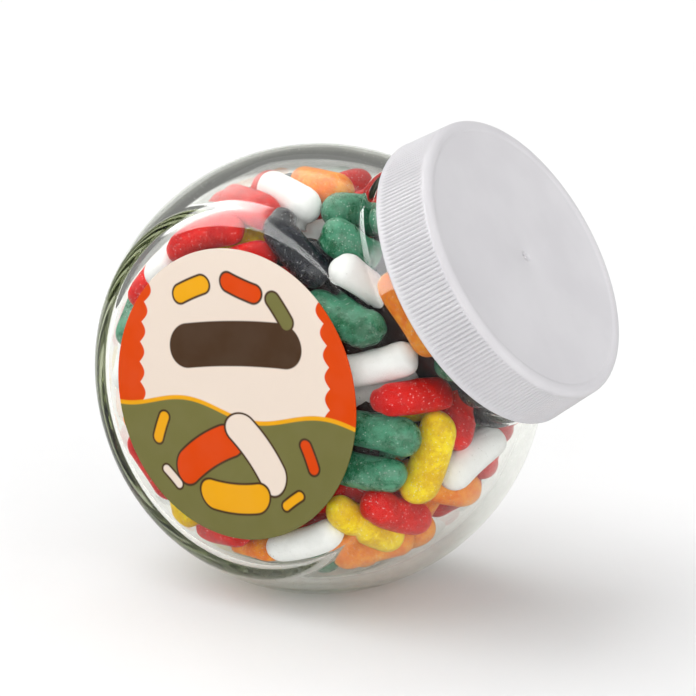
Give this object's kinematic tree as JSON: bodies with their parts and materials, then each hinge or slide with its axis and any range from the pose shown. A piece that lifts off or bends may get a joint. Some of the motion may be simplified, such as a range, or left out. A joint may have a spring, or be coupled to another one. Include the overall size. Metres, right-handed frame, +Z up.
{
  "type": "jar of jelly beans",
  "caption": "Round glass jar with flat panels, a tilted neck and a ribbed white screw cap, filled with sugared jelly beans and wearing a round paper label.",
  "frame": {"origin": "centre of the jar's flat foot, on the surface that it stands on", "axes": "+Z up, +X towards the side that the neck leans to, -Y out of the front panel with the label"},
  "size_m": [0.1088, 0.0606, 0.097],
  "materials": {
    "glass": "clear",
    "cap_plastic": "satin",
    "label_paper": "matte",
    "sugared_beans": "matte"
  },
  "bodies": {
    "root": {"glass_jar": "glass", "cap": "cap_plastic", "label": "label_paper", "jelly_beans": "sugared_beans"}
  },
  "joints": []
}
